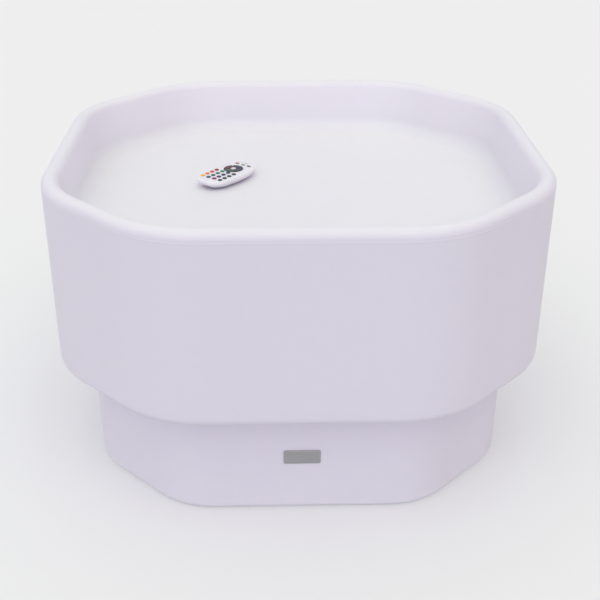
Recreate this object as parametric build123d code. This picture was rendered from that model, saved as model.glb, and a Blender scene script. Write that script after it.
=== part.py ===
"""Sensory light table: a hollow moulded octagonal tub on a narrower base, with a recessed play
surface, a rechargeable LED light module screwed into its underside, and a hand remote lying in the recess.

Frame: millimetres, +Z up, origin on the floor under the middle of the table, the front (badge) towards -Y.
"""
from build123d import *
import math
import os

os.makedirs("parts", exist_ok=True)
SQ = math.sqrt(2.0)

# ------------------------------------------------------------------ driving dimensions
# table body
TUB_W = 700.0          # across flats at the rim
TOTAL_H = 440.0        # floor to rim crest
TUB_C = 158.0          # corner cut of the tub outline, measured along X and Y
TUB_R = 163.0          # rounding of each of the eight vertices of the tub outline
RIM_W = 24.0           # width of the rounded rim
RIM_FIL = 11.6         # rounding of both rim edges
STEP_Z = 164.5         # underside of the tub
TUB_DRAFT = 3.6        # how far the tub wall comes in from rim to step
TUB_BOT_FIL = 14.0
BASE_W = 600.8         # across flats of the base where it meets the tub
BASE_C = 132.6
BASE_R = 111.0
BASE_DRAFT = 4.1
BASE_Z = 2.0           # underside of the moulding: the pads hold it off the floor
BASE_BOT_FIL = 6.0
JOIN_FIL = 6.0
WALL = 5.0
# recessed play surface
FLOOR_Z = 358.0
REC_TOP_IN = RIM_W
REC_BOT_IN = 32.0
REC_FIL = 24.0
# pocket in the underside and the opening of the light module
POCKET_R = 185.0
POCKET_Z = 30.0
POCKET_FIL = 10.0
OPENING_R = 84.0
# light module
PLATE_R = 110.0
PLATE_Z0, PLATE_Z1 = 24.0, 28.0
SCREW_PCR = 101.0      # radius of the six plate screws
INSERT_R = 4.0
SCREW_R = 2.45
BTN_XY = (-38.0, -52.0)
JACK_XY = (38.0, -52.0)
LENS_XY = (0.0, -62.0)
BTN_TRAVEL = 2.0
PILLAR_R = 74.5
TAG_Z = 42.0           # top of the solder tags of the switch and the charging socket
SPREAD_Z = 58.0
# badge
BADGE_W, BADGE_H, BADGE_T = 50.0, 21.0, 1.6
BADGE_Z = 87.3
# remote: its own frame has +X to the emitter end, +Z up, origin under its middle
REM_LN, REM_LF = 52.5, 54.0     # from its middle to the near end and to the emitter end
REM_W, REM_H = 55.0, 15.0
REM_X, REM_Y, REM_ANGLE = -107.0, 52.3, 51.4
REM_SPLIT = 10.6       # height of the joint between its two shells
REM_WALL = 1.6
# boat-shaped hull: how far its sides and its ends come in, and at which height
HULL_OUT = [(14.0, 20.0, 0.0), (9.0, 14.0, 1.4), (4.0, 7.0, 4.4), (1.2, 2.2, 7.6), (0.0, 0.0, REM_SPLIT)]
HULL_IN = [(14.8, 20.8, 1.6), (11.2, 16.4, 2.6), (6.0, 9.2, 5.2), (3.0, 4.0, 8.0), (2.0, 2.0, REM_SPLIT + 0.01)]
KEY_R = 3.4
KEY_PITCH_U, KEY_PITCH_V = 10.67, 11.5
KEY_MATRIX_U = -19.8
DIAL_U = 15.7
DIAL_R = 15.0
END_U = 39.0
KEY_TRAVEL = 0.7
KEY_PROUD = 1.2
TRAY_W, TRAY_L, TRAY_T = 25.0, 33.0, 5.0
TRAY_Z = 2.6


# ------------------------------------------------------------------ helpers
def octagon(w, c, r, inset, z):
    """Octagonal outline with rounded vertices, half width w, pulled in by inset, as a face at height z."""
    w2, c2, r2 = w - inset, c - inset * (2 - SQ), r - inset
    a = w2 - c2
    pts = [(w2, -a), (w2, a), (a, w2), (-a, w2), (-w2, a), (-w2, -a), (-a, -w2), (a, -w2)]
    sk = make_face(Polyline(*pts, close=True))
    sk = fillet(sk.vertices(), r2)
    return Plane.XY.offset(z) * sk


def tub_at(inset, z):
    return octagon(TUB_W / 2, TUB_C, TUB_R, inset, z)


def base_at(inset, z):
    return octagon(BASE_W / 2, BASE_C, BASE_R, inset, z)


def prism(lower, upper):
    return loft([lower, upper], ruled=True)


def flat_edges(part, low=True):
    f = part.faces().sort_by(Axis.Z)[0 if low else -1]
    return f.edges()


def cyl(r, z0, z1, x=0.0, y=0.0):
    return Pos(x, y, (z0 + z1) / 2) * Cylinder(r, z1 - z0)


def ring(ro, ri, z0, z1, x=0.0, y=0.0):
    return cyl(ro, z0, z1, x, y) - cyl(ri, z0 - 1, z1 + 1, x, y)


def blk(x0, x1, y0, y1, z0, z1):
    return Pos((x0 + x1) / 2, (y0 + y1) / 2, (z0 + z1) / 2) * Box(x1 - x0, y1 - y0, z1 - z0)


def polar(r, deg):
    return r * math.cos(math.radians(deg)), r * math.sin(math.radians(deg))


def hexring(af, ri, z0, z1, x, y):
    h = extrude(Plane.XY.offset(z0) * RegularPolygon(af / 2, 6, major_radius=False), z1 - z0)
    return Pos(x, y, 0) * (h - cyl(ri, z0 - 1, z1 + 1))


def save(name, shape, n=1):
    """Writes one node; n is how many separate solids it has."""
    solids = shape.solids()
    assert len(solids) == n, (name, len(solids), n)
    out = solids[0] if n == 1 else Compound(children=list(solids))
    export_step(out, f"parts/{name}.step")


# ------------------------------------------------------------------ table shell
def make_shell():
    tub_h = TOTAL_H
    tub = prism(tub_at(TUB_DRAFT, STEP_Z), tub_at(0, tub_h))
    tub = fillet(flat_edges(tub), TUB_BOT_FIL)
    slope = (REC_BOT_IN - REC_TOP_IN) / (tub_h - FLOOR_Z)
    rec = prism(tub_at(REC_BOT_IN, FLOOR_Z), tub_at(REC_TOP_IN - 10 * slope, tub_h + 10))
    rec = fillet(flat_edges(rec), REC_FIL)
    tub = tub - rec
    tub = fillet(flat_edges(tub, low=False), RIM_FIL)
    base = prism(base_at(BASE_DRAFT, BASE_Z), base_at(0, STEP_Z + 2))
    base = fillet(flat_edges(base), BASE_BOT_FIL)
    outer = tub + base
    # hollow inside, one wall thickness from every outer face
    tin = prism(tub_at(TUB_DRAFT + WALL, STEP_Z + WALL), tub_at(WALL, tub_h - 6))
    tin = fillet(flat_edges(tin), TUB_BOT_FIL - WALL)
    tin = fillet(flat_edges(tin, low=False), 6.0)
    bin_ = prism(base_at(BASE_DRAFT + WALL, BASE_Z + WALL), base_at(WALL, STEP_Z + WALL + 2))
    rexp = prism(tub_at(REC_BOT_IN - WALL, FLOOR_Z - WALL), tub_at(REC_TOP_IN - WALL - 10 * slope, tub_h + 10))
    rexp = fillet(flat_edges(rexp), REC_FIL + WALL)
    pocket = cyl(POCKET_R, -5, POCKET_Z)
    pocket = fillet(flat_edges(pocket, low=False), POCKET_FIL)
    pexp = cyl(POCKET_R + WALL, -5, POCKET_Z + WALL)
    pexp = fillet(flat_edges(pexp, low=False), POCKET_FIL + WALL)
    cavity = tin + bin_ - rexp - pexp
    shell = outer - pocket - cavity - cyl(OPENING_R, POCKET_Z - 1, POCKET_Z + WALL + 1)
    # bosses that hold the threaded inserts
    for k in range(6):
        x, y = polar(SCREW_PCR, 30 + 60 * k)
        shell = shell + cyl(9.0, POCKET_Z + 1, POCKET_Z + 20, x, y)
    for k in range(6):
        x, y = polar(SCREW_PCR, 30 + 60 * k)
        shell = shell - cyl(INSERT_R, POCKET_Z - 1, POCKET_Z + 14, x, y)
    # seats of the foot pads
    for k in range(8):
        x, y = polar(245.0, 22.5 + 45 * k)
        shell = shell - cyl(16.0, 0, BASE_Z + 1.5, x, y)
    return shell


save("table_shell", make_shell())
save("plate_inserts", Compound(children=[ring(INSERT_R, 2.5, POCKET_Z, POCKET_Z + 14, *polar(SCREW_PCR, 30 + 60 * k)).solids()[0] for k in range(6)]), 6)
pads = []
for k in range(8):
    p = cyl(16.0, 0, BASE_Z + 1.5, *polar(245.0, 22.5 + 45 * k))
    pads.append(fillet(flat_edges(p), 0.8).solids()[0])
save("foot_pads", Compound(children=pads), 8)

# badge: a blank plate stuck to the front of the base, which leans out very slightly
lean = math.degrees(math.atan2(BASE_DRAFT, STEP_Z - BASE_Z))
face_y = -(BASE_W / 2 - BASE_DRAFT * (STEP_Z + 2 - BADGE_Z) / (STEP_Z + 2 - BASE_Z))
badge = extrude(RectangleRounded(BADGE_W, BADGE_H, 2.2), BADGE_T)
badge = chamfer(flat_edges(badge, low=False), 0.45)
save("badge_plate", Pos(0, face_y - 0.02, BADGE_Z) * Rot(90 + lean, 0, 0) * badge)

# ------------------------------------------------------------------ light module
plate = cyl(PLATE_R, PLATE_Z0, PLATE_Z1)
plate = fillet(flat_edges(plate), 1.5)
for k in range(6):
    plate = plate - cyl(2.75, PLATE_Z0 - 1, PLATE_Z1 + 1, *polar(SCREW_PCR, 30 + 60 * k))
for a in (90, 210, 330):      # pillars under the light board
    x, y = polar(PILLAR_R, a)
    plate = plate + cyl(4.5, PLATE_Z1 - 1, SPREAD_Z, x, y) - cyl(1.25, SPREAD_Z - 9, SPREAD_Z + 1, x, y)
BOARD = (-4.0, 56.0, -10.0, 34.0)
BOARD_Z = 34.0
BOARD_HOLES = [(0.5, -5.5), (51.5, -5.5), (0.5, 29.5), (51.5, 29.5)]
for x, y in BOARD_HOLES:
    plate = plate + cyl(3.2, PLATE_Z1 - 1, BOARD_Z, x, y) - cyl(1.25, BOARD_Z - 6, BOARD_Z + 1, x, y)
CLAMP_HOLES = [(-61.5, 7.0), (-7.5, 7.0)]
for x, y in CLAMP_HOLES:
    plate = plate - cyl(1.25, PLATE_Z0 + 1, PLATE_Z1 + 1, x, y)
plate = plate - cyl(8.0, PLATE_Z0 - 1, PLATE_Z1 + 1, *BTN_XY)
plate = plate - cyl(5.5, PLATE_Z0 - 1, PLATE_Z1 + 1, *JACK_XY)
plate = plate - cyl(2.1, PLATE_Z0 - 1, PLATE_Z1 + 1, *LENS_XY)
PIVOT_XY = (JACK_XY[0], JACK_XY[1] - 18.0)
plate = plate - cyl(1.5, PLATE_Z0 - 1, PLATE_Z0 + 3, *PIVOT_XY)
save("service_plate", plate)
save("plate_gasket", ring(94.0, 86.0, PLATE_Z1, POCKET_Z))


def pan_screw(x, y, zc, up, r, length, head_r, head_h):
    """Pan head screw; its head's seat is at zc and it runs up (or down) from there, with a cross slot."""
    s = 1 if up else -1
    head = cyl(head_r, min(zc, zc - s * head_h), max(zc, zc - s * head_h), x, y)
    top = head.faces().sort_by(Axis.Z)[0 if up else -1]
    head = fillet(top.edges(), head_h * 0.45)
    shank = cyl(r, min(zc, zc + s * length), max(zc, zc + s * length), x, y)
    zs = zc - s * head_h
    slot = blk(x - head_r * 0.5, x + head_r * 0.5, y - head_r * 0.11, y + head_r * 0.11, min(zs - 1, zs + 0.55 * head_h), max(zs + 1, zs - 0.55 * head_h)) if up else \
        blk(x - head_r * 0.5, x + head_r * 0.5, y - head_r * 0.11, y + head_r * 0.11, zs - 0.55 * head_h, zs + 1)
    slot2 = Pos(x, y, 0) * Rot(0, 0, 90) * Pos(-x, -y, 0) * slot
    return (head + shank - slot - slot2).solids()[0]


save("plate_screws", Compound(children=[pan_screw(*polar(SCREW_PCR, 30 + 60 * k), PLATE_Z0, True, SCREW_R, 18.0, 4.75, 3.0) for k in range(6)]), 6)

spreader = cyl(80.0, SPREAD_Z, SPREAD_Z + 3)
for a in (90, 210, 330):
    spreader = spreader - cyl(1.6, SPREAD_Z - 1, SPREAD_Z + 4, *polar(PILLAR_R, a))
spreader = spreader - blk(58, 90, -5, 5, SPREAD_Z - 1, SPREAD_Z + 4)
save("led_spreader", spreader)
led_board = cyl(66.0, SPREAD_Z + 3, SPREAD_Z + 4.6) - blk(57, 70, -5, 5, SPREAD_Z, SPREAD_Z + 6)
save("led_board", led_board)
LZ = SPREAD_Z + 4.6
chips = []
for r, n, off in ((20.0, 8, 0.0), (46.0, 16, 11.25)):
    for k in range(n):
        x, y = polar(r, off + 360.0 / n * k)
        c = Pos(x, y, LZ + 0.8) * Rot(0, 0, off + 360.0 / n * k) * Box(5.0, 5.0, 1.6)
        c = c - cyl(1.9, LZ + 1.25, LZ + 2, x, y)
        chips.append(c.solids()[0])
save("led_chips", Compound(children=chips), 24)

# clear dome over the light board
DR, DH, DT = 70.0, 34.0, 2.0
DZ = SPREAD_Z + 3
ro = (DR * DR + DH * DH) / (2 * DH)
zc = DZ + DT + DH - ro
inner_cap = Pos(0, 0, zc) * Sphere(ro - DT) & cyl(DR - 1.5, DZ - 1, zc + ro)
dome = (Pos(0, 0, zc) * Sphere(ro) & cyl(DR, DZ, zc + ro + 1)) + cyl(DR + 9.0, DZ, DZ + 2.5)
dome = dome - inner_cap
for a in (90, 210, 330):
    dome = dome - cyl(1.6, DZ - 1, DZ + 4, *polar(PILLAR_R, a))
save("diffuser_dome", dome)

# battery: two cells in an open cradle under a sheet clamp
CX, CY = -34.5, 7.0
cradle = blk(CX - 21, CX + 21, CY - 35, CY + 35, PLATE_Z1, PLATE_Z1 + 12) - blk(CX - 19.2, CX + 19.2, CY - 33.2, CY + 33.2, PLATE_Z1 + 1.8, PLATE_Z1 + 20)
save("battery_cradle", cradle)
cells = []
for sx in (-1, 1):
    c = Pos(CX + sx * 9.45, CY + 0.6, PLATE_Z1 + 1.8 + 9.2) * Rot(90, 0, 0) * (Cylinder(9.2, 64.0) + Pos(0, 0, 32.5) * Cylinder(3.0, 1.2))
    cells.append(c.solids()[0])
save("battery_cells", Compound(children=cells), 2)
CLZ = PLATE_Z1 + 1.8 + 18.4
clamp = blk(CX - 23.2, CX + 23.2, CY - 9, CY + 9, CLZ + 0.1, CLZ + 1.6)
clamp = clamp + blk(CX - 23.2, CX - 21.7, CY - 9, CY + 9, PLATE_Z1, CLZ + 1) + blk(CX + 21.7, CX + 23.2, CY - 9, CY + 9, PLATE_Z1, CLZ + 1)
clamp = clamp + blk(CX - 31.0, CX - 22.5, CY - 5, CY + 5, PLATE_Z1, PLATE_Z1 + 1.5) + blk(CX + 22.5, CX + 31.0, CY - 5, CY + 5, PLATE_Z1, PLATE_Z1 + 1.5)
for x, y in CLAMP_HOLES:
    clamp = clamp - cyl(1.6, PLATE_Z1 - 1, PLATE_Z1 + 3, x, y)
save("battery_clamp", clamp)

# control board and what is soldered on it
board = blk(BOARD[0], BOARD[1], BOARD[2], BOARD[3], BOARD_Z, BOARD_Z + 1.6)
for x, y in BOARD_HOLES:
    board = board - cyl(1.6, BOARD_Z - 1, BOARD_Z + 3, x, y)
save("control_board", board)
BT = BOARD_Z + 1.6
bits = [blk(20, 31, 8, 19, BT, BT + 1.6), fillet(blk(36, 46, 7, 17, BT, BT + 5).edges().filter_by(Axis.Z), 2.5),
        cyl(4.0, BT, BT + 9, 42, 24), cyl(4.0, BT, BT + 9, 31, 27), cyl(3.2, BT, BT + 7, 21, 26.5),
        blk(48.5, 54.5, 5.5, 10.5, BT, BT + 2.3), blk(48.5, 54.5, 12, 18, BT, BT + 2.3),
        blk(6, 13, 4, 9, BT, BT + 1.4), blk(6, 9, 14, 16, BT, BT + 1.0), blk(6, 9, 19, 21, BT, BT + 1.0), blk(11, 14, 14, 16, BT, BT + 1.0)]
save("board_parts", Compound(children=[b.solids()[0] for b in bits]), len(bits))
irr = blk(-3.2, 3.2, -60.5, -56.5, LZ, LZ + 5.0) + Pos(0, -59.5, LZ + 2.8) * Sphere(2.4)
irr = irr & blk(-4, 4, -63, -56, LZ, LZ + 6)
save("ir_receiver", irr)

# charging socket, its nut, and the cover that swivels over it
jx, jy = JACK_XY
jack = cyl(8.0, PLATE_Z0 - 1.5, PLATE_Z0, jx, jy) + cyl(5.4, PLATE_Z0 - 1, PLATE_Z0 + 14, jx, jy)
jack = jack - cyl(3.2, PLATE_Z0 - 3, PLATE_Z0 + 11, jx, jy) + cyl(1.0, PLATE_Z0 + 0.2, PLATE_Z0 + 12, jx, jy)
jack = jack + blk(jx - 3.6, jx - 2.0, jy - 1.2, jy + 1.2, PLATE_Z0 + 13, TAG_Z) + blk(jx + 2.0, jx + 3.6, jy - 1.2, jy + 1.2, PLATE_Z0 + 13, TAG_Z)
save("charge_jack", jack)
save("jack_nut", hexring(14.0, 5.4, PLATE_Z1, PLATE_Z1 + 2.5, jx, jy))
px, py = PIVOT_XY
cover = cyl(9.0, 19.7, 22.2, jx, jy)
cover = fillet(flat_edges(cover), 1.0)
cover = cover + blk(px - 3.5, px + 3.5, py, jy - 4, 19.7, 22.0) + cyl(4.2, 19.7, 23.8, px, py)
cover = cover + blk(jx - 3.5, jx + 3.5, jy + 8.0, jy + 11.0, 19.9, 22.0)
cover = cover - cyl(1.55, 19, 25, px, py)
save("socket_cover", cover)
pivot = cyl(3.2, 18.2, 19.5, px, py)
pivot = fillet(flat_edges(pivot), 0.6)
save("cover_pivot", pivot + cyl(1.5, 19.4, PLATE_Z0 + 3, px, py))

# push button: threaded body, moving cap, spring and nut
bx, by = BTN_XY
bbody = cyl(11.0, PLATE_Z0 - 2, PLATE_Z0, bx, by) + cyl(8.0, PLATE_Z0 - 1, PLATE_Z0 + 15, bx, by)
bbody = fillet(flat_edges(bbody), 0.7)
bbody = bbody - cyl(6.2, PLATE_Z0 - 3, PLATE_Z0 + 3, bx, by) - cyl(7.0, PLATE_Z0 + 2, PLATE_Z0 + 13, bx, by)
bbody = bbody + blk(bx - 4.8, bx - 3.2, by - 1.2, by + 1.2, PLATE_Z0 + 14, TAG_Z) + blk(bx + 3.2, bx + 4.8, by - 1.2, by + 1.2, PLATE_Z0 + 14, TAG_Z)
save("button_body", bbody)
bcap = cyl(6.0, PLATE_Z0 - 4.5, PLATE_Z0 + 5, bx, by)
bcap = fillet(flat_edges(bcap), 1.0)
bcap = bcap + cyl(6.8, PLATE_Z0 + 2.1, PLATE_Z0 + 5, bx, by) + cyl(2.6, PLATE_Z0 + 4, PLATE_Z0 + 9.5, bx, by)
save("button_cap", bcap)
SPR_Z0, SPR_Z1 = PLATE_Z0 + 5.05, PLATE_Z0 + 12.95
helix = Helix(pitch=2.3, height=(SPR_Z1 - SPR_Z0) - 0.8, radius=4.6)
prof = Plane(origin=helix @ 0, z_dir=helix % 0) * Circle(0.38)
spring = sweep(prof, path=helix)
save("button_spring", Pos(bx, by, SPR_Z0 + 0.4) * spring)
save("button_nut", hexring(20.0, 8.0, PLATE_Z1, PLATE_Z1 + 3, bx, by))
lens = cyl(3.2, PLATE_Z0 - 1.2, PLATE_Z0, *LENS_XY) + cyl(2.05, PLATE_Z0 - 1, PLATE_Z0 + 8, *LENS_XY)
save("indicator_lens", fillet(flat_edges(lens), 0.8))

m3 = [pan_screw(*polar(PILLAR_R, a), DZ + 2.5, False, 1.25, 11.0, 2.8, 2.0) for a in (90, 210, 330)]
m3 += [pan_screw(x, y, BT, False, 1.25, 6.0, 2.8, 2.0) for x, y in BOARD_HOLES]
m3 += [pan_screw(x, y, PLATE_Z1 + 1.5, False, 1.25, 4.0, 2.8, 2.0) for x, y in CLAMP_HOLES]
save("m3_screws", Compound(children=m3), len(m3))


# wire connectors: four side-entry headers on the control board, one on the LED board
LEAD_R = 0.8
headers = [blk(x - 4, x + 4, -8, -2, BT, BT + 6) for x in (8, 20, 32)]
headers += [blk(42, 48, -4, 4, BT, BT + 6), blk(46, 52, -4, 4, LZ, LZ + 6)]
save("wire_connectors", Compound(children=[h.solids()[0] for h in headers]), 5)
HZ = BT + 3.0


def lead(name, points):
    """A two-core lead along straight runs joined by arcs, each as large as its runs allow."""
    v = [Vector(*p) for p in points]
    runs = [(q - p) for p, q in zip(v, v[1:])]
    radii = []
    for r0, r1 in zip(runs, runs[1:]):
        turn = math.radians(r0.get_angle(r1))
        radii.append(0.45 * min(r0.length, r1.length) / math.tan(turn / 2))
    path = FilletPolyline(*points, radius=radii)
    tube = sweep(Plane(origin=path @ 0, z_dir=path % 0) * Circle(LEAD_R), path=path).solids()[0]
    want = math.pi * LEAD_R ** 2 * path.length
    print(name, "length", round(path.length, 1), "radii", [round(r, 1) for r in radii], "volume ratio", round(tube.volume / want, 4))
    return tube


leads = [
    lead("battery lead", [(CX + 9.45, CY - 31.5, 43.5), (CX + 9.45, CY - 47.0, 43.5), (8.0, CY - 47.0, 40.0), (8.0, -8.3, HZ)]),
    lead("switch lead", [(20.0, -8.3, HZ), (20.0, -30.0, 45.0), (-10.0, -48.0, 52.6), (bx + 4.0, by, 53.0), (bx + 4.0, by, TAG_Z)]),
    lead("socket lead", [(32.0, -8.4, HZ), (32.0, -20.0, 41.0), (jx + 2.8, -37.0, 52.6), (jx + 2.8, jy, 53.0), (jx + 2.8, jy, TAG_Z)]),
    lead("light lead", [(48.0, 0.0, HZ), (62.0, 0.0, HZ), (62.0, 0.0, LZ + 3.0), (52.0, 0.0, LZ + 3.0)]),
]
save("wire_leads", Compound(children=leads), len(leads))


# ------------------------------------------------------------------ remote
def to_table(shape):
    return Pos(REM_X, REM_Y, FLOOR_Z) * Rot(0, 0, REM_ANGLE) * shape


def rem_outline(inset, z, end=None):
    """Plan of the remote: blunt near end, more pointed emitter end, gently bowed sides; the ends can come in by another amount."""
    e = inset if end is None else end
    a, b, w = REM_LN - e, REM_LF - e, REM_W / 2 - inset
    half = [(-a, 0.50, 14.0), (-a * 0.72, 0.93, 22.0), (-a * 0.05, 1.04, 60.0), (b * 0.40, 1.0, 60.0), (b * 0.78, 0.80, 20.0), (b, 0.42, 13.0)]
    k = 1 - inset / 24.0
    corners = [(x, -f * w, r * k) for x, f, r in half] + [(x, f * w, r * k) for x, f, r in reversed(half)]
    spans = []
    for i, (x, y, r) in enumerate(corners):
        p0, p1, p2 = Vector(*corners[i - 1][:2]), Vector(x, y), Vector(*corners[(i + 1) % len(corners)][:2])
        d0, d1 = (p1 - p0).normalized(), (p2 - p1).normalized()
        turn = math.radians(d0.get_angle(d1))
        t = r * math.tan(turn / 2)
        out = (d0 - d1).normalized()
        spans.append((p1 - d0 * t, p1 - out * (r / math.cos(turn / 2) - r), p1 + d1 * t))
    edges = []
    for i, (s, m, e2) in enumerate(spans):
        edges.append(ThreePointArc(s, m, e2))
        edges.append(Line(e2, spans[(i + 1) % len(spans)][0]))
    return Plane.XY.offset(z) * Face(Wire(edges))


hull = loft([rem_outline(i, z, e) for i, e, z in HULL_OUT], ruled=True)
hull_in = loft([rem_outline(i, z, e) for i, e, z in HULL_IN], ruled=True)
tray_cut = blk(-REM_LN - 5, -REM_LN + TRAY_L + 0.3, -TRAY_W / 2 - 0.2, TRAY_W / 2 + 0.2, TRAY_Z - 0.2, TRAY_Z + TRAY_T + 0.2)
bottom = hull - hull_in - tray_cut
bottom = bottom - Pos(REM_LF - 3, 0, REM_SPLIT) * Rot(0, 90, 0) * Cylinder(2.6, 12)
save("remote_bottom_shell", to_table(bottom))
tray = (blk(-REM_LN - 5, -REM_LN + TRAY_L, -TRAY_W / 2, TRAY_W / 2, TRAY_Z, TRAY_Z + TRAY_T) & hull)
CELL_U = -REM_LN + TRAY_L - 11.5
tray = tray - cyl(10.15, TRAY_Z + 1.2, TRAY_Z + TRAY_T + 1, CELL_U, 0)
tray = tray - blk(-REM_LN, -REM_LN + 7.4, -5, 5, TRAY_Z + TRAY_T - 1.0, TRAY_Z + TRAY_T + 1)
save("battery_tray", to_table(tray))
save("coin_cell", to_table(fillet(cyl(10.0, TRAY_Z + 1.25, TRAY_Z + 3.75, CELL_U, 0).edges(), 0.3)))

cap = extrude(rem_outline(0, REM_SPLIT), REM_H - REM_SPLIT)
cap = fillet(flat_edges(cap, low=False), 2.2)
cap = cap - extrude(rem_outline(REM_WALL, REM_SPLIT - 1), REM_H - REM_SPLIT + 1 - REM_WALL)
PLATE_UNDER = REM_H - REM_WALL
colours = {
    "key_yellow": (0, 0), "key_amber": (1, 0), "key_orange": (2, 0), "key_red": (3, 0),
    "key_deep_teal": (0, 1), "key_teal": (1, 1), "key_sea_green": (2, 1), "key_green": (3, 1),
    "key_magenta": (0, 2), "key_purple": (1, 2), "key_violet": (2, 2), "key_blue": (3, 2),
    "key_flash": (0, 3), "key_strobe": (1, 3), "key_fade": (2, 3), "key_smooth": (3, 3),
}
KEY_TOP = REM_H + KEY_PROUD
FLANGE_Z0, FLANGE_Z1 = PLATE_UNDER - 1.5, PLATE_UNDER - 0.15
key_spots = []
for name, (row, col) in colours.items():
    u = KEY_MATRIX_U + (row - 1.5) * KEY_PITCH_U
    v = (1.5 - col) * KEY_PITCH_V
    key_spots.append((u, v))
    cap = cap - cyl(KEY_R + 0.25, PLATE_UNDER - 1, REM_H + 1, u, v)
    k = cyl(KEY_R, FLANGE_Z0, KEY_TOP, u, v)
    k = fillet(flat_edges(k, low=False), 0.8)
    k = k + cyl(KEY_R + 0.9, FLANGE_Z0, FLANGE_Z1, u, v)
    save(name, to_table(k))
ends = {"key_off": 11.5, "key_on": 0.0, "key_timer": -11.5}
for name, v in ends.items():
    key_spots.append((END_U, v))
    hole = extrude(Pos(END_U, v, PLATE_UNDER - 1) * SlotOverall(7.3, 5.1, rotation=90), 4)
    cap = cap - hole
    k = extrude(Pos(END_U, v, FLANGE_Z0) * SlotOverall(6.8, 4.6, rotation=90), KEY_TOP - FLANGE_Z0)
    k = fillet(flat_edges(k, low=False), 0.8)
    k = k + extrude(Pos(END_U, v, FLANGE_Z0) * SlotOverall(8.4, 6.2, rotation=90), FLANGE_Z1 - FLANGE_Z0)
    save(name, to_table(k))
cap = cap - cyl(DIAL_R + 0.3, PLATE_UNDER - 1, REM_H + 1, DIAL_U, 0)
DIAL_IN = 5.3
for name, a in {"dial_down": 180.0, "dial_right": 270.0, "dial_up": 0.0, "dial_left": 90.0}.items():
    wedge = extrude(make_face(Polyline((0, 0), (30, -30 * math.tan(math.radians(41.5))), (30, 30 * math.tan(math.radians(41.5))), close=True)), 30)
    wedge = Pos(DIAL_U, 0, 0) * Rot(0, 0, a) * wedge
    k = ring(DIAL_R, DIAL_IN, FLANGE_Z0, KEY_TOP - 0.1, DIAL_U, 0) & wedge
    k = fillet(flat_edges(k, low=False), 0.5)
    k = k + (ring(DIAL_R + 1.0, DIAL_IN, FLANGE_Z0, FLANGE_Z1, DIAL_U, 0) & wedge)
    key_spots.append((DIAL_U + 10.0 * math.cos(math.radians(a)), 10.0 * math.sin(math.radians(a))))
    save(name, to_table(k))
k = cyl(DIAL_IN - 0.9, FLANGE_Z0, KEY_TOP + 0.1, DIAL_U, 0)
key_spots.append((DIAL_U, 0))
save("dial_centre", to_table(fillet(flat_edges(k, low=False), 0.8)))
cap = cap - extrude(Pos(47.2, 0, PLATE_UNDER - 1) * SlotOverall(6.0, 2.6, rotation=90), 4)
# emitter window at the far end
cap = cap - Pos(REM_LF - 3, 0, REM_SPLIT) * Rot(0, 90, 0) * Cylinder(2.6, 12)
save("remote_top_shell", to_table(cap))

MAT_Z = FLANGE_Z0 - KEY_TRAVEL - 0.1
mat = extrude(rem_outline(REM_WALL + 2.4, MAT_Z - 1.4), 0.9)
for u, v in key_spots:
    mat = mat + cyl(1.7, MAT_Z - 0.9, MAT_Z, u, v)
save("remote_keymat", to_table(mat))
BRD_Z = MAT_Z - 1.4
brd = extrude(rem_outline(REM_WALL + 2.4, BRD_Z - 1.2), 1.2)
save("remote_board", to_table(brd))
EM_Z = REM_SPLIT
em = Pos(REM_LF - 4.6, 0, EM_Z) * Rot(0, 90, 0) * Cylinder(2.5, 6.0) + Pos(REM_LF - 1.6, 0, EM_Z) * Sphere(2.5)
em = em & blk(REM_LF - 3.6, REM_LF + 2, -4, 4, EM_Z - 4, EM_Z + 4)
save("remote_emitter", to_table(em))
print("nodes", len(os.listdir("parts")))
print("remote lift clears the rim by", FLOOR_Z + 120 - TOTAL_H)
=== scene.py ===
import bpy
import bmesh
import math
from mathutils import Vector, Matrix


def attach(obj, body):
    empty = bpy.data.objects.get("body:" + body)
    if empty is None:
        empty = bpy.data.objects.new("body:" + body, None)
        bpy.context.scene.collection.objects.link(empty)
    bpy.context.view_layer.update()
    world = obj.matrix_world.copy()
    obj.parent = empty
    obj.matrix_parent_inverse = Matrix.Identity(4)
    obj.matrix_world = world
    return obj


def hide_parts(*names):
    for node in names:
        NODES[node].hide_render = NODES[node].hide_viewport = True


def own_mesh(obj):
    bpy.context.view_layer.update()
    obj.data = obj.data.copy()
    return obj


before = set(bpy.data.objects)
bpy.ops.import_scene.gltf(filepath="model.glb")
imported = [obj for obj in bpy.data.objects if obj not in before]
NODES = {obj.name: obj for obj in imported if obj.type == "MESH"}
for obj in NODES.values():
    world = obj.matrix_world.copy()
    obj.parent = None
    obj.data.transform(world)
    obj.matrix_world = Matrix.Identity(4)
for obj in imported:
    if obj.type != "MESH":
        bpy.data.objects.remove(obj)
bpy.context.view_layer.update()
SQ = math.sqrt(2.0)
MM = 0.001


# ------------------------------------------------------------------ camera
def make_camera():
    cam = bpy.data.cameras.new("camera")
    ob = bpy.data.objects.new("camera", cam)
    bpy.context.scene.collection.objects.link(ob)
    fwd = Vector((0.02221, 0.90560, -0.42355)).normalized()
    right = fwd.cross(Vector((0, 0, 1))).normalized()
    up = right.cross(fwd).normalized()
    roll = 0.001
    r2 = right * math.cos(roll) + up * math.sin(roll)
    u2 = -right * math.sin(roll) + up * math.cos(roll)
    m = Matrix((r2, u2, -fwd)).transposed().to_4x4()
    m.translation = Vector((-0.0368, -1.5011, 0.9223))
    ob.matrix_world = m
    cam.sensor_width = 36.0
    cam.sensor_fit = "HORIZONTAL"
    cam.lens = 63.76
    cam.shift_x = 0.00506
    cam.shift_y = -0.0416
    cam.clip_start = 0.02
    cam.clip_end = 60.0
    bpy.context.scene.camera = ob


make_camera()


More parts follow.
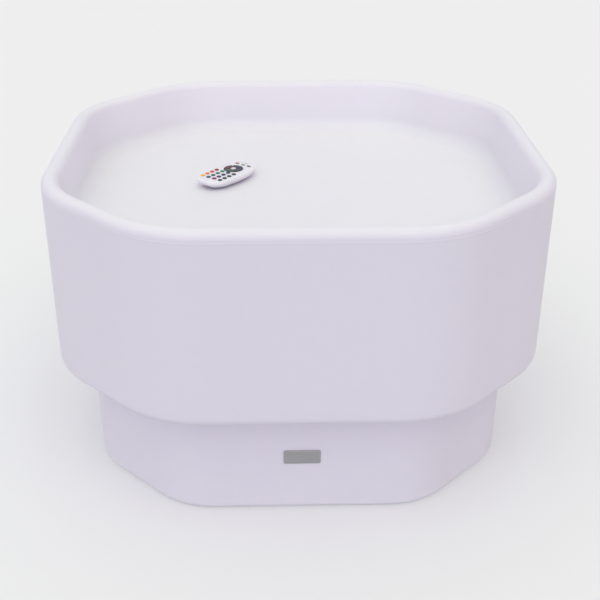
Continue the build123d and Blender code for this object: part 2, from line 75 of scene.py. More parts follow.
# ------------------------------------------------------------------ node helpers
class Mat:
    """A small wrapper for building one procedural material around a Principled shader."""

    def __init__(self, name, **sockets):
        self.m = bpy.data.materials.new(name)
        self.m.use_nodes = True
        self.t = self.m.node_tree
        self.t.nodes.clear()
        self.out = self.t.nodes.new("ShaderNodeOutputMaterial")
        self.p = self.t.nodes.new("ShaderNodeBsdfPrincipled")
        self.t.links.new(self.p.outputs[0], self.out.inputs[0])
        self.coord = self.t.nodes.new("ShaderNodeTexCoord").outputs["Object"]
        self.height = None
        for k, v in sockets.items():
            self.set(k, v)

    def set(self, key, value):
        names = {"color": "Base Color", "rough": "Roughness", "metal": "Metallic", "ior": "IOR", "sss": "Subsurface Weight", "sss_radius": "Subsurface Radius",
                 "sss_scale": "Subsurface Scale", "coat": "Coat Weight", "coat_rough": "Coat Roughness", "spec": "Specular IOR Level", "trans": "Transmission Weight",
                 "aniso": "Anisotropic", "sheen": "Sheen Weight", "emit": "Emission Color", "emit_strength": "Emission Strength", "alpha": "Alpha"}
        s = self.p.inputs[names[key]]
        if isinstance(value, (int, float)):
            s.default_value = value
        else:
            v = list(value)
            if len(s.default_value) == 4 and len(v) == 3:
                v.append(1.0)
            s.default_value = v

    def node(self, kind, **props):
        n = self.t.nodes.new(kind)
        for k, v in props.items():
            setattr(n, k, v)
        return n

    def link(self, a, b):
        self.t.links.new(a, b)

    def mapped(self, scale=(1, 1, 1), rot=(0, 0, 0), loc=(0, 0, 0)):
        n = self.node("ShaderNodeMapping")
        n.inputs["Scale"].default_value = scale
        n.inputs["Rotation"].default_value = rot
        n.inputs["Location"].default_value = loc
        self.link(self.coord, n.inputs["Vector"])
        return n.outputs[0]

    def noise(self, scale, detail=2.0, rough=0.5, vec=None, distortion=0.0):
        n = self.node("ShaderNodeTexNoise")
        n.inputs["Scale"].default_value = scale
        n.inputs["Detail"].default_value = detail
        n.inputs["Roughness"].default_value = rough
        n.inputs["Distortion"].default_value = distortion
        self.link(vec or self.coord, n.inputs["Vector"])
        return n.outputs[0]

    def voronoi(self, scale, feature="F1", vec=None, randomness=1.0):
        n = self.node("ShaderNodeTexVoronoi", feature=feature)
        n.inputs["Scale"].default_value = scale
        n.inputs["Randomness"].default_value = randomness
        self.link(vec or self.coord, n.inputs["Vector"])
        return n.outputs["Distance"]

    def remap(self, value, lo, hi, a, b, smooth=False):
        n = self.node("ShaderNodeMapRange", interpolation_type="SMOOTHSTEP" if smooth else "LINEAR")
        self.link(value, n.inputs["Value"])
        n.inputs["From Min"].default_value = lo
        n.inputs["From Max"].default_value = hi
        n.inputs["To Min"].default_value = a
        n.inputs["To Max"].default_value = b
        return n.outputs[0]

    def math(self, op, a, b=None):
        n = self.node("ShaderNodeMath", operation=op)
        for i, v in enumerate((a, b)):
            if v is None:
                continue
            if isinstance(v, (int, float)):
                n.inputs[i].default_value = v
            else:
                self.link(v, n.inputs[i])
        return n.outputs[0]

    def mix(self, fac, a, b):
        n = self.node("ShaderNodeMix", data_type="RGBA")
        for s, v in ((n.inputs[0], fac), (n.inputs[6], a), (n.inputs[7], b)):
            if isinstance(v, (int, float)):
                s.default_value = v
            elif isinstance(v, (tuple, list)):
                s.default_value = list(v) + ([1.0] if len(v) == 3 else [])
            else:
                self.link(v, s)
        return n.outputs[2]

    def color(self, socket):
        self.link(socket, self.p.inputs["Base Color"])

    def rough(self, socket):
        self.link(socket, self.p.inputs["Roughness"])

    def bump(self, socket, distance, strength=1.0):
        """Adds one bump layer on top of those before it; distance in metres."""
        n = self.node("ShaderNodeBump")
        n.inputs["Strength"].default_value = strength
        n.inputs["Distance"].default_value = distance
        self.link(socket, n.inputs["Height"])
        if self.height is not None:
            self.link(self.height, n.inputs["Normal"])
        self.height = n.outputs[0]
        self.link(self.height, self.p.inputs["Normal"])


def lin(r, g, b):
    """0-255 display colour to linear."""
    out = []
    for c in (r, g, b):
        c /= 255.0
        out.append(c / 12.92 if c <= 0.04045 else ((c + 0.055) / 1.055) ** 2.4)
    return tuple(out)


def shade(c, k):
    return tuple(min(1.0, x * k) for x in c[:3])


# ------------------------------------------------------------------ materials
def shell_material():
    m = Mat("milky_polyethylene", rough=0.40, ior=1.51, sss=0.30, sss_radius=(1.0, 0.85, 1.0), sss_scale=0.006, spec=0.32)
    base = (0.880, 0.860, 0.908)
    broad = m.noise(3.1, 2.0, 0.5)
    fine = m.noise(38.0, 3.0, 0.55)
    c = m.mix(m.remap(broad, 0.3, 0.7, 0.0, 1.0), shade(base, 0.992), shade(base, 1.006))
    c = m.mix(m.remap(fine, 0.35, 0.65, 0.0, 0.22), c, shade(base, 0.978))
    # small dark specks burnt into the powder during moulding
    cells = m.node("ShaderNodeTexVoronoi", feature="F1")
    cells.inputs["Scale"].default_value = 26.0
    m.link(m.coord, cells.inputs["Vector"])
    pick = m.math("GREATER_THAN", m.noise(9.0, 1.0, 0.5), 0.66)
    dot = m.math("LESS_THAN", cells.outputs["Distance"], 0.022)
    c = m.mix(m.math("MULTIPLY", m.math("MULTIPLY", dot, pick), 0.35), c, (0.42, 0.40, 0.40))
    m.color(c)
    # handling marks: slightly glossier and duller patches, with fine crossing scratches
    r = m.remap(m.noise(5.0, 3.0, 0.6), 0.3, 0.7, 0.38, 0.44)
    s1 = m.noise(30.0, 2.0, 0.6, vec=m.mapped((1.0, 26.0, 26.0), (0.3, 0.2, 0.5)))
    s2 = m.noise(30.0, 2.0, 0.6, vec=m.mapped((26.0, 1.0, 26.0), (0.1, 0.4, 0.2)))
    scr = m.math("MAXIMUM", m.remap(s1, 0.66, 0.72, 0.0, 1.0), m.remap(s2, 0.67, 0.73, 0.0, 1.0))
    m.rough(m.math("ADD", r, m.math("MULTIPLY", scr, 0.05)))
    # moulded skin: slow waviness, orange peel, and the scratches
    m.bump(m.noise(5.0, 1.0, 0.4), 0.0011)
    m.bump(m.noise(190.0, 2.0, 0.5), 0.00010)
    m.bump(m.noise(900.0, 2.0, 0.5), 0.000018)
    m.bump(scr, 0.000010)
    return m.m


def plastic(name, base, rough=0.45, grain=900.0, depth=0.00003, vary=0.03, sss=0.0, coat=0.0, spec=0.5):
    m = Mat(name, rough=rough, ior=1.48, spec=spec)
    if sss:
        m.set("sss", sss)
        m.set("sss_scale", 0.0015)
    if coat:
        m.set("coat", coat)
        m.set("coat_rough", 0.12)
    n = m.noise(60.0, 3.0, 0.6)
    m.color(m.mix(m.remap(n, 0.3, 0.7, 0.0, 1.0), shade(base, 1.0 - vary), shade(base, 1.0 + vary)))
    m.rough(m.remap(m.noise(140.0, 2.0, 0.5), 0.3, 0.7, rough - 0.05, rough + 0.06))
    m.bump(m.noise(grain, 2.0, 0.5), depth)
    return m.m


def rubber(name, base, rough=0.75):
    m = Mat(name, rough=rough, ior=1.45, spec=0.35)
    n = m.noise(220.0, 4.0, 0.65)
    m.color(m.mix(m.remap(n, 0.35, 0.7, 0.0, 1.0), shade(base, 0.85), shade(base, 1.2)))
    m.rough(m.remap(n, 0.3, 0.7, rough - 0.08, rough + 0.1))
    m.bump(m.noise(1400.0, 3.0, 0.6), 0.00005)
    return m.m


def metal(name, base, rough=0.3, brushed=None, depth=0.00001):
    m = Mat(name, metal=1.0, rough=rough)
    vec = m.mapped(brushed) if brushed else m.coord
    n = m.noise(420.0, 3.0, 0.6, vec=vec)
    m.color(m.mix(m.remap(n, 0.3, 0.7, 0.0, 1.0), shade(base, 0.9), shade(base, 1.06)))
    m.rough(m.remap(n, 0.3, 0.7, rough - 0.08, rough + 0.1))
    m.bump(n, depth)
    return m.m


def circuit(name, base):
    m = Mat(name, rough=0.42, ior=1.5, coat=0.3, coat_rough=0.2)
    v = m.voronoi(230.0, "DISTANCE_TO_EDGE")
    tracks = m.remap(v, 0.02, 0.05, 1.0, 0.0)
    n = m.noise(30.0, 2.0, 0.5)
    c = m.mix(m.remap(n, 0.3, 0.7, 0.0, 1.0), shade(base, 0.85), shade(base, 1.1))
    m.color(m.mix(m.math("MULTIPLY", tracks, 0.45), c, shade(base, 1.7)))
    m.rough(m.remap(tracks, 0.0, 1.0, 0.42, 0.3))
    m.bump(tracks, 0.00004)
    return m.m


def clear(name, base, rough=0.3, trans=0.85):
    m = Mat(name, rough=rough, ior=1.49, trans=trans)
    n = m.noise(80.0, 3.0, 0.5)
    m.color(m.mix(m.remap(n, 0.3, 0.7, 0.0, 1.0), shade(base, 0.95), shade(base, 1.0)))
    m.rough(m.remap(n, 0.3, 0.7, rough - 0.05, rough + 0.08))
    m.bump(m.noise(600.0, 2.0, 0.5), 0.00003)
    return m.m


def badge_material():
    m = Mat("brushed_badge", metal=1.0, rough=0.34)
    streak = m.noise(300.0, 4.0, 0.65, vec=m.mapped((0.03, 1.0, 6.0)))
    fine = m.noise(900.0, 2.0, 0.5, vec=m.mapped((0.02, 1.0, 5.0)))
    c = m.mix(m.remap(streak, 0.3, 0.7, 0.0, 1.0), (0.30, 0.30, 0.31), (0.46, 0.46, 0.47))
    m.color(c)
    m.rough(m.remap(fine, 0.3, 0.7, 0.30, 0.46))
    m.bump(streak, 0.00003)
    m.bump(fine, 0.00001)
    return m.m


SHELL = shell_material()
REMOTE_WHITE = plastic("remote_gloss_white", (0.90, 0.895, 0.92), rough=0.24, grain=500.0, depth=0.00001, vary=0.010, sss=0.10, coat=0.30)
STEEL = metal("zinc_steel", (0.60, 0.60, 0.61), 0.32)
# painted shade: the hull is the same white plastic as the top shell, and this darker, greyer copy paints in the shade
# that falls on its sides
REMOTE_HULL_PAINTED_SHADE = plastic("remote_hull_white_painted_shade", (0.76, 0.74, 0.80), rough=0.30, grain=500.0, depth=0.00001, vary=0.012, sss=0.10, coat=0.20)
NICKEL = metal("nickel", (0.66, 0.64, 0.60), 0.2)


# ------------------------------------------------------------------ table shell
ARC_N, SIDE_N, CORNER_N = 18, 8, 5
TUB = (350.0, 158.0, 163.0)
BASE = (300.4, 132.6, 111.0)


def octa(family, inset, z):
    """One closed ring of the octagonal outline, always with the same number of points in the same order, in mm."""
    w, c, r = family
    w, c, r = w - inset, c - inset * (2 - SQ), max(r - inset, 1.0)
    a = w - c
    v = [(w, -a), (w, a), (a, w), (-a, w), (-w, a), (-w, -a), (-a, -w), (a, -w)]
    t = r * math.tan(math.radians(22.5))
    pts = []
    for i in range(8):
        p0, p1, p2 = v[i - 1], v[i], v[(i + 1) % 8]
        d0 = Vector((p1[0] - p0[0], p1[1] - p0[1])).normalized()
        d1 = Vector((p2[0] - p1[0], p2[1] - p1[1])).normalized()
        corner = Vector(p1)
        s = corner - d0 * t
        centre = s + Vector((-d0.y, d0.x)) * r
        rad = s - centre
        for k in range(ARC_N + 1):
            ang = math.radians(45.0 * k / ARC_N)
            q = centre + Vector((rad.x * math.cos(ang) - rad.y * math.sin(ang), rad.x * math.sin(ang) + rad.y * math.cos(ang)))
            pts.append((q.x, q.y, z))
        e = corner + d1 * t
        nxt = Vector(p2) - d1 * t
        n = SIDE_N if i % 2 == 0 else CORNER_N
        for k in range(1, n):
            q = e + (nxt - e) * (k / n)
            pts.append((q.x, q.y, z))
    return pts


ANGLES = [math.atan2(p[1], p[0]) for p in octa(BASE, 10, 0)]


def circ(r, z):
    return [(r * math.cos(a), r * math.sin(a), z) for a in ANGLES]


def arc(c0, c1, rad, a0, a1, n):
    """Points of an arc in the (inset, z) plane; angles in degrees, 0 is towards a larger inset, 90 is up."""
    return [(c0 + rad * math.cos(math.radians(a0 + (a1 - a0) * k / n)), c1 + rad * math.sin(math.radians(a0 + (a1 - a0) * k / n))) for k in range(n + 1)]


def shell_rings():
    rings = []

    def tub(pairs):
        for i, z in pairs:
            rings.append(octa(TUB, i, z))

    def base(pairs):
        for i, z in pairs:
            rings.append(octa(BASE, i, z))

    def disc(pairs):
        for r, z in pairs:
            rings.append(circ(r, z))

    wall_in = lambda z: 24.0 + 8.0 * (440.0 - z) / 82.0
    wall_out = lambda z: 3.6 * (440.0 - z) / 275.5
    # cavity side, from under the play surface round to the opening
    for k in (0.08, 0.3, 0.55, 0.8, 0.95):
        rings.append([(x * k, y * k, 353.0) for x, y, _ in octa(TUB, 57, 353)])
    tub(arc(56.0, 382.0, 29.0, -90, -180 + 5, 6))
    tub([(wall_in(400) - 5, 400.0), (wall_in(425) - 5, 425.0)])
    tub(arc(12.3, 427.5, 7.2, 0, 180, 8))
    tub([(wall_out(400) + 5, 400.0), (wall_out(300) + 5, 300.0), (wall_out(200) + 5, 200.0)])
    tub(arc(8.5 + 9.0, 169.5 + 9.0, 9.0, 180, 270, 5))
    tub([(30.0, 169.5)])
    base([(1.0, 169.5), (5.0, 166.0), (5.2, 150.0), (7.0, 80.0), (8.8, 14.0)])
    base(arc(9.2 + 4.0, 7.0 + 4.0, 4.0, 180, 270, 3))
    base([(40.0, 7.0)])
    disc([(200.0, 7.0), (191.5, 7.0), (190.0, 8.5), (190.0, 20.0)])
    disc([(175.0 + 15.0 * math.cos(math.radians(a)), 20.0 + 15.0 * math.sin(math.radians(a))) for a in (0, 22.5, 45, 67.5, 90)])
    disc([(140.0, 35.0), (100.0, 35.0), (85.2, 35.0), (84.3, 34.7), (84.0, 33.9)])
    # outside, from the opening over the pocket, the underside, the base, the tub, the rim and the recess
    disc([(84.0, 31.0), (84.3, 30.3), (85.2, 30.0), (100.0, 30.0), (130.0, 30.0), (160.0, 30.0), (173.0, 30.0)])
    disc([(175.0 + 10.0 * math.cos(math.radians(a)), 20.0 + 10.0 * math.sin(math.radians(a))) for a in (90, 78, 66, 54, 42, 30, 18, 6, 0)])
    disc([(185.0, 18.0), (185.0, 12.0), (185.0, 7.0)])
    disc([(188.5 - 3.5 * math.cos(math.radians(a)), 5.5 - 3.5 * math.sin(math.radians(a))) for a in (0, 15, 30, 45, 60, 75, 90)])
    disc([(190.5, 2.0), (215.0, 2.0)])
    base([(40.0, 2.0), (12.0, 2.0)])
    base(arc(4.1 + 6.5, 2.0 + 6.5, 6.5, 270, 180, 8))
    base([(4.02, 11.0), (3.0, 42.0), (1.6, 100.0), (0.4, 150.0), (0.22, 156.0)])
    base(arc(0.1 - 6.0, 158.6, 6.0, 0, 90, 6))
    tub([(36.0, 164.58), (20.0, 164.5)])
    tub(arc(3.5 + 14.0, 164.5 + 14.0, 14.0, 270, 180, 12))
    tub([(wall_out(181), 181.0), (wall_out(240), 240.0), (wall_out(320), 320.0), (wall_out(400), 400.0)])
    # the mould's parting line: a fine trimmed ridge
    g = wall_out(424)
    tub([(g, 422.6), (g - 0.02, 423.5), (g - 0.16, 424.1), (g - 0.30, 424.6), (g - 0.30, 425.0), (g - 0.12, 425.5), (g + 0.05, 426.0), (g + 0.02, 426.8)])
    n = 18
    for k in range(n + 1):
        a = math.pi * (1 - k / n)
        rings.append(octa(TUB, 12.45 + 12.3 * math.cos(a), 428.0 + 12.0 * math.sin(a)))
    tub([(wall_in(426), 426.0), (wall_in(410), 410.0), (wall_in(395), 395.0), (wall_in(384), 384.0)])
    f = 24.0
    cx = wall_in(382) + f * 0.995
    tub([(cx + f * math.cos(math.radians(a)), 382.0 + f * math.sin(math.radians(a))) for a in [185 + (270 - 185) * k / 14 for k in range(15)]])
    tub([(cx + 3.0, 358.0)])
    for k in (0.94, 0.8, 0.62, 0.44, 0.26, 0.1):
        rings.append([(x * k, y * k, 358.0) for x, y, _ in octa(TUB, cx + 3.0, 358.0)])
    return rings


def mesh_from_rings(name, rings, cap_start, cap_end):
    """Closed skin through rings of equal length; cap_start and cap_end are the points that close the two ends."""
    n = len(rings[0])
    verts = [Vector(p) * MM for ring in rings for p in ring]
    faces = []
    for i in range(len(rings) - 1):
        a, b = i * n, (i + 1) * n
        for k in range(n):
            k2 = (k + 1) % n
            faces.append((a + k, a + k2, b + k2, b + k))
    s = len(verts)
    verts.append(Vector(cap_start) * MM)
    verts.append(Vector(cap_end) * MM)
    last = (len(rings) - 1) * n
    for k in range(n):
        k2 = (k + 1) % n
        faces.append((s, k2, k))
        faces.append((last + k, last + k2, s + 1))
    me = bpy.data.meshes.new(name)
    me.from_pydata([tuple(v) for v in verts], [], faces)
    bm = bmesh.new()
    bm.from_mesh(me)
    bmesh.ops.recalc_face_normals(bm, faces=bm.faces)
    bm.to_mesh(me)
    bm.free()
    me.update()
    for p in me.polygons:
        p.use_smooth = True
    ob = bpy.data.objects.new(name, me)
    bpy.context.scene.collection.objects.link(ob)
    return ob


def make_shell():
    ob = mesh_from_rings("table_body", shell_rings(), (0, 0, 353.0), (0, 0, 358.0))
    ob.data.materials.append(SHELL)
    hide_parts("table_shell")
    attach(ob, "table")
    return ob


make_shell()


# ------------------------------------------------------------------ remote hull
REM_AT, REM_TURN, REM_FLOOR = (-107.0, 52.3), math.radians(51.4), 358.0
SPLIT = 10.6


def rem_plan(side, end, z):
    """One ring of the remote's plan, in mm in the table's frame; its sides and its ends come in by their own amounts."""
    a, b, w = 52.5 - end, 54.0 - end, 27.5 - side
    half = [(-a, 0.50, 14.0), (-a * 0.72, 0.93, 22.0), (-a * 0.05, 1.04, 60.0), (b * 0.40, 1.0, 60.0), (b * 0.78, 0.80, 20.0), (b, 0.42, 13.0)]
    k = 1 - side / 24.0
    corners = [(x, -f * w, r * k) for x, f, r in half] + [(x, f * w, r * k) for x, f, r in reversed(half)]
    pts = []
    for i, (x, y, r) in enumerate(corners):
        p0, p1, p2 = Vector(corners[i - 1][:2]), Vector((x, y)), Vector(corners[(i + 1) % len(corners)][:2])
        d0, d1 = (p1 - p0).normalized(), (p2 - p1).normalized()
        turn = d0.angle(d1)
        t = r * math.tan(turn / 2)
        start = p1 - d0 * t
        centre = start + Vector((-d0.y, d0.x)) * r
        rad = start - centre
        for j in range(9):
            g = turn * j / 8
            q = centre + Vector((rad.x * math.cos(g) - rad.y * math.sin(g), rad.x * math.sin(g) + rad.y * math.cos(g)))
            pts.append(q)
    c, s = math.cos(REM_TURN), math.sin(REM_TURN)
    return [(REM_AT[0] + q.x * c - q.y * s, REM_AT[1] + q.x * s + q.y * c, REM_FLOOR + z) for q in pts]


def rem_solid(name, u0, u1, v0, v1, z0, z1, cylinder=False):
    """A cutter in the remote's own directions: a box, or a round bar along its length."""
    bm = bmesh.new()
    if cylinder:
        bmesh.ops.create_cone(bm, cap_ends=True, segments=48, radius1=0.5, radius2=0.5, depth=1.0, matrix=Matrix.Rotation(math.radians(90), 4, "Y"))
    else:
        bmesh.ops.create_cube(bm, size=1.0)
    m = (Matrix.Translation((REM_AT[0] * MM, REM_AT[1] * MM, REM_FLOOR * MM)) @ Matrix.Rotation(REM_TURN, 4, "Z")
         @ Matrix.Translation(((u0 + u1) / 2 * MM, (v0 + v1) / 2 * MM, (z0 + z1) / 2 * MM)) @ Matrix.Diagonal(((u1 - u0) * MM, (v1 - v0) * MM, (z1 - z0) * MM, 1.0)))
    bm.transform(m)
    me = bpy.data.meshes.new(name)
    bm.to_mesh(me)
    bm.free()
    ob = bpy.data.objects.new(name, me)
    bpy.context.scene.collection.objects.link(ob)
    return ob


def cut_with(ob, cutters):
    for c in cutters:
        mod = ob.modifiers.new("cut", "BOOLEAN")
        mod.operation = "DIFFERENCE"
        mod.solver = "EXACT"
        mod.object = c
    bpy.context.view_layer.update()
    dg = bpy.context.evaluated_depsgraph_get()
    me = bpy.data.meshes.new_from_object(ob.evaluated_get(dg))
    ob.modifiers.clear()
    ob.data = me
    for c in cutters:
        bpy.data.objects.remove(c, do_unlink=True)
    for f in me.polygons:
        f.use_smooth = True
    me.set_sharp_from_angle(angle=math.radians(35))


def make_remote_hull():
    outer, inner = [], []
    for end_in in (26.0, 22.5):
        outer.append(rem_plan(14.0 + (end_in - 20.0) * 0.6, end_in, 0.0))
    steps = 20
    for i in range(steps + 1):
        t = (i / steps) ** 1.6
        z = t * (SPLIT - 0.35)
        k = 1 - z / SPLIT
        outer.append(rem_plan(14.0 * k ** 2.3, 20.0 * k ** 2.0, max(z, 0.0)))
    outer += [rem_plan(0.05, 0.05, SPLIT - 0.22), rem_plan(0.28, 0.28, SPLIT - 0.02), rem_plan(1.0, 1.0, SPLIT)]
    for side, end, z in ((2.0, 2.0, SPLIT), (3.0, 4.0, 8.0), (6.0, 9.2, 5.2), (11.2, 16.4, 2.6), (14.8, 20.8, 1.6), (17.0, 25.0, 1.6)):
        inner.append(rem_plan(side, end, z))
    c = (REM_AT[0], REM_AT[1])
    ob = mesh_from_rings("remote_hull", outer + inner, (c[0], c[1], REM_FLOOR), (c[0], c[1], REM_FLOOR + 1.6))
    tray = rem_solid("tray_cutter", -58.0, -19.2, -12.7, 12.7, 2.4, 7.8)
    window = rem_solid("window_cutter", 45.0, 58.0, -2.6, 2.6, SPLIT - 2.6, SPLIT + 2.6, cylinder=True)
    cut_with(ob, [tray, window])
    ob.data.materials.clear()
    # the hull takes the darker copy of the remote's white: painted shade on its sides
    ob.data.materials.append(REMOTE_HULL_PAINTED_SHADE)
    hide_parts("remote_bottom_shell")
    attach(ob, "remote")


make_remote_hull()


# ------------------------------------------------------------------ button spring
def make_spring():
    """The coil under the button's shoulder: a steel helix built at one fixed length."""
    bx, by, z0, height, radius, wire, pitch = -38.0, -52.0, 29.45, 7.1, 4.6, 0.38, 2.3
    turns, per_turn, sides = height / pitch, 40, 12
    n = int(turns * per_turn)
    rings = []
    for i in range(n + 1):
        a = 2 * math.pi * turns * i / n
        centre = Vector((bx + radius * math.cos(a), by + radius * math.sin(a), z0 + height * i / n))
        outward = Vector((math.cos(a), math.sin(a), 0.0))
        along = Vector((-radius * math.sin(a), radius * math.cos(a), pitch / (2 * math.pi))).normalized()
        upward = outward.cross(along).normalized()
        rings.append([tuple(centre + outward * wire * math.cos(b) + upward * wire * math.sin(b)) for b in [2 * math.pi * k / sides for k in range(sides)]])
    ends = [[sum(c) / sides for c in zip(*r)] for r in (rings[0], rings[-1])]
    ob = mesh_from_rings("button_coil", rings, ends[0], ends[1])
    ob.data.materials.append(STEEL)
    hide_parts("button_spring")
    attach(ob, "table")
    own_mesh(ob)


make_spring()


# ------------------------------------------------------------------ finishes of the carried-over pieces
def give(node, material):
    me = NODES[node].data
    if me.materials:
        for i in range(len(me.materials)):
            me.materials[i] = material
    else:
        me.materials.append(material)


KEYS = {
    "key_yellow": (0.93, 0.50, 0.07), "key_amber": (0.82, 0.22, 0.05), "key_orange": (0.68, 0.075, 0.035), "key_red": (0.36, 0.025, 0.04),
    "key_deep_teal": (0.012, 0.075, 0.09), "key_teal": (0.015, 0.12, 0.14), "key_sea_green": (0.015, 0.20, 0.17), "key_green": (0.03, 0.25, 0.10),
    "key_magenta": (0.28, 0.02, 0.11), "key_purple": (0.075, 0.014, 0.085), "key_violet": (0.045, 0.016, 0.11), "key_blue": (0.014, 0.02, 0.11),
    "key_flash": (0.06, 0.058, 0.07), "key_strobe": (0.06, 0.058, 0.07), "key_fade": (0.06, 0.058, 0.07), "key_smooth": (0.06, 0.058, 0.07),
    "key_off": (0.48, 0.26, 0.26), "key_on": (0.38, 0.40, 0.30), "key_timer": (0.24, 0.24, 0.25),
    "dial_up": (0.05, 0.045, 0.06), "dial_right": (0.05, 0.045, 0.06), "dial_down": (0.05, 0.095, 0.065), "dial_left": (0.13, 0.035, 0.035), "dial_centre": (0.72, 0.71, 0.73),
}
for node, colour in KEYS.items():
    give(node, plastic(node + "_finish", colour, rough=0.42, grain=1500.0, depth=0.00002, vary=0.05))

FINISH = {
    "plate_inserts": metal("brass_insert", (0.55, 0.36, 0.12), 0.3),
    "foot_pads": rubber("pad_rubber", (0.045, 0.045, 0.047)),
    "badge_plate": badge_material(),
    "service_plate": plastic("plate_plastic", (0.60, 0.59, 0.62), rough=0.5, grain=700.0, depth=0.00005),
    "plate_gasket": rubber("gasket_foam", (0.02, 0.02, 0.02), 0.85),
    "plate_screws": STEEL, "m3_screws": STEEL, "cover_pivot": STEEL, "battery_clamp": STEEL, "button_spring": STEEL, "coin_cell": metal("coin_cell_steel", (0.62, 0.61, 0.60), 0.22),
    "led_spreader": metal("spreader_aluminium", (0.72, 0.73, 0.75), 0.38, brushed=(1.0, 0.05, 1.0)),
    "led_board": circuit("light_board", (0.72, 0.72, 0.69)),
    "led_chips": plastic("light_chip", (0.75, 0.66, 0.30), rough=0.2, vary=0.08),
    "diffuser_dome": clear("frosted_dome", (0.93, 0.94, 0.95)),
    "battery_cradle": plastic("inner_plastic", (0.012, 0.012, 0.013), rough=0.55),
    "battery_cells": plastic("cell_wrap", (0.02, 0.07, 0.22), rough=0.28, vary=0.04),
    "control_board": circuit("control_board_mask", (0.012, 0.09, 0.035)),
    "remote_board": circuit("remote_board_mask", (0.012, 0.09, 0.035)),
    "board_parts": plastic("board_parts_black", (0.012, 0.012, 0.014), rough=0.4),
    "wire_connectors": plastic("connector_nylon", (0.68, 0.64, 0.52), rough=0.45),
    "ir_receiver": plastic("receiver_black", (0.008, 0.006, 0.009), rough=0.15),
    "charge_jack": plastic("jack_black", (0.010, 0.010, 0.010), rough=0.3),
    "jack_nut": NICKEL, "button_body": NICKEL, "button_nut": NICKEL,
    "socket_cover": rubber("cover_rubber", (0.035, 0.035, 0.037)),
    "button_cap": plastic("button_plastic", (0.62, 0.62, 0.64), rough=0.35),
    "indicator_lens": plastic("lens_red", (0.45, 0.04, 0.03), rough=0.12, vary=0.02),
    "wire_leads": plastic("lead_insulation", (0.32, 0.012, 0.010), rough=0.45),
    "remote_keymat": rubber("mat_silicone", (0.62, 0.62, 0.62), 0.6),
    "remote_emitter": plastic("emitter_tint", (0.012, 0.006, 0.016), rough=0.08, vary=0.02),
    # the hull and the battery tray take the darker copy of the remote's white: painted shade
    "battery_tray": REMOTE_HULL_PAINTED_SHADE, "remote_top_shell": REMOTE_WHITE, "remote_bottom_shell": REMOTE_HULL_PAINTED_SHADE,
}
for node, material in FINISH.items():
    give(node, material)


# ------------------------------------------------------------------ floor and light
def make_stage():
    me = bpy.data.meshes.new("studio_floor")
    s = 14.0
    me.from_pydata([(-s, -s, 0), (s, -s, 0), (s, s, 0), (-s, s, 0)], [], [(0, 1, 2, 3)])
    ob = bpy.data.objects.new("studio_floor", me)
    bpy.context.scene.collection.objects.link(ob)
    m = Mat("studio_floor", rough=0.9, color=(0.93, 0.93, 0.93), spec=0.05)
    me.materials.append(m.m)
    ob.visible_diffuse = False     # the light from below comes from the lower half of the surroundings instead
    ob.visible_shadow = False


def area(name, size, power, loc, target, colour=(1, 1, 1)):
    li = bpy.data.lights.new(name, "AREA")
    li.shape = "RECTANGLE"
    li.size, li.size_y = size
    li.energy = power
    li.color = colour
    ob = bpy.data.objects.new(name, li)
    bpy.context.scene.collection.objects.link(ob)
    ob.location = loc
    d = Vector(target) - Vector(loc)
    ob.rotation_euler = d.to_track_quat("-Z", "Y").to_euler()
    ob.visible_camera = False
    return ob


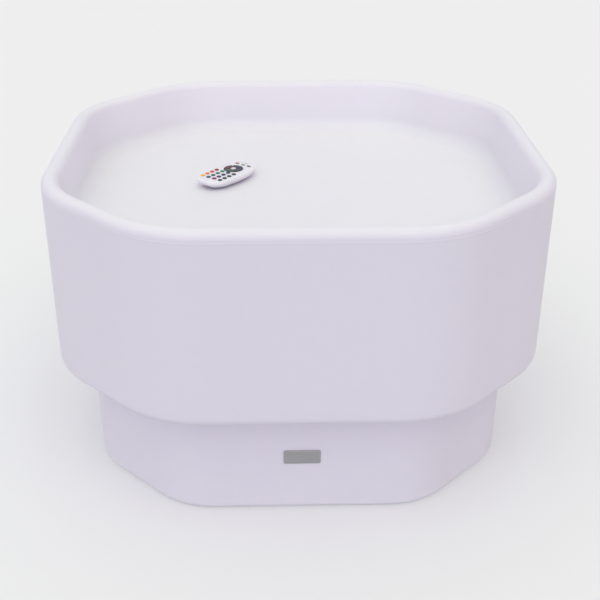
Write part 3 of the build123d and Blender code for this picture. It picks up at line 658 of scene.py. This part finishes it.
def make_world(panels):
    """A soft studio made of broad light panels: each is a direction, how far it spreads and a colour. The camera itself sees plain grey."""
    w = bpy.data.worlds.new("studio")
    bpy.context.scene.world = w
    w.use_nodes = True
    t = w.node_tree
    t.nodes.clear()
    out = t.nodes.new("ShaderNodeOutputWorld")
    bg = t.nodes.new("ShaderNodeBackground")
    t.links.new(bg.outputs[0], out.inputs[0])
    tc = t.nodes.new("ShaderNodeTexCoord")
    total = None
    for direction, lo, hi, colour in panels:
        dot = t.nodes.new("ShaderNodeVectorMath")
        dot.operation = "DOT_PRODUCT"
        t.links.new(tc.outputs["Generated"], dot.inputs[0])
        dot.inputs[1].default_value = Vector(direction).normalized()
        r = t.nodes.new("ShaderNodeMapRange")
        r.interpolation_type = "SMOOTHSTEP"
        r.inputs["From Min"].default_value = lo
        r.inputs["From Max"].default_value = hi
        t.links.new(dot.outputs["Value"], r.inputs["Value"])
        c = t.nodes.new("ShaderNodeVectorMath")
        c.operation = "SCALE"
        c.inputs[0].default_value = colour
        t.links.new(r.outputs[0], c.inputs["Scale"])
        if total is None:
            total = c.outputs[0]
        else:
            add = t.nodes.new("ShaderNodeVectorMath")
            add.operation = "ADD"
            t.links.new(total, add.inputs[0])
            t.links.new(c.outputs[0], add.inputs[1])
            total = add.outputs[0]
    lp = t.nodes.new("ShaderNodeLightPath")
    m = t.nodes.new("ShaderNodeMix")
    m.data_type = "RGBA"
    t.links.new(lp.outputs["Is Camera Ray"], m.inputs[0])
    t.links.new(total, m.inputs[6])
    m.inputs[7].default_value = (0.84, 0.84, 0.84, 1)
    t.links.new(m.outputs[2], bg.inputs[0])


def sun(name, colour, angle, direction):
    li = bpy.data.lights.new(name, "SUN")
    li.energy = 1.0
    li.color = colour
    li.angle = math.radians(angle)
    ob = bpy.data.objects.new(name, li)
    bpy.context.scene.collection.objects.link(ob)
    ob.rotation_euler = Vector(direction).to_track_quat("-Z", "Y").to_euler()


AMBIENT = (0.424, 0.305, 0.430)
TOP = (0.304, 0.434, 0.126)
FRONT = (0.000, 0.000, 0.053)
LEFT = (0.085, 0.105, 0.130)
RIGHT = (0.000, 0.000, 0.000)
BACK = (0.230, 0.310, 0.394)
HIGH = (0.777, 0.823, 0.841)
SUN = (0.000, 0.000, 0.000)
NEAR = (0.000, 0.125, 0.096)
BELOW = (0.100, 0.238, 0.107)
make_stage()
make_world([((0, 0, 1), -2.0, -1.5, AMBIENT), ((0, 0, 1), 0.35, 0.95, TOP), ((0, -1, 0.15), 0.2, 0.95, FRONT), ((-1, -0.15, 0.15), 0.2, 0.95, LEFT),
            ((1, -0.15, 0.15), 0.2, 0.95, RIGHT), ((0, 1, 0.45), 0.2, 0.95, BACK), ((0, -0.85, 0.85), 0.5, 0.98, HIGH), ((0, 0, -1), 0.0, 0.25, BELOW)])
sun("overhead", SUN, 50, (0.0, -0.5, -1.0))
area("near_softbox", (1.5, 0.8), 2.0, (0.0, -0.6, 1.5), (0.0, -0.35, 0.4), NEAR)

bpy.context.scene.view_settings.view_transform = "Standard"
bpy.context.scene.view_settings.look = "None"
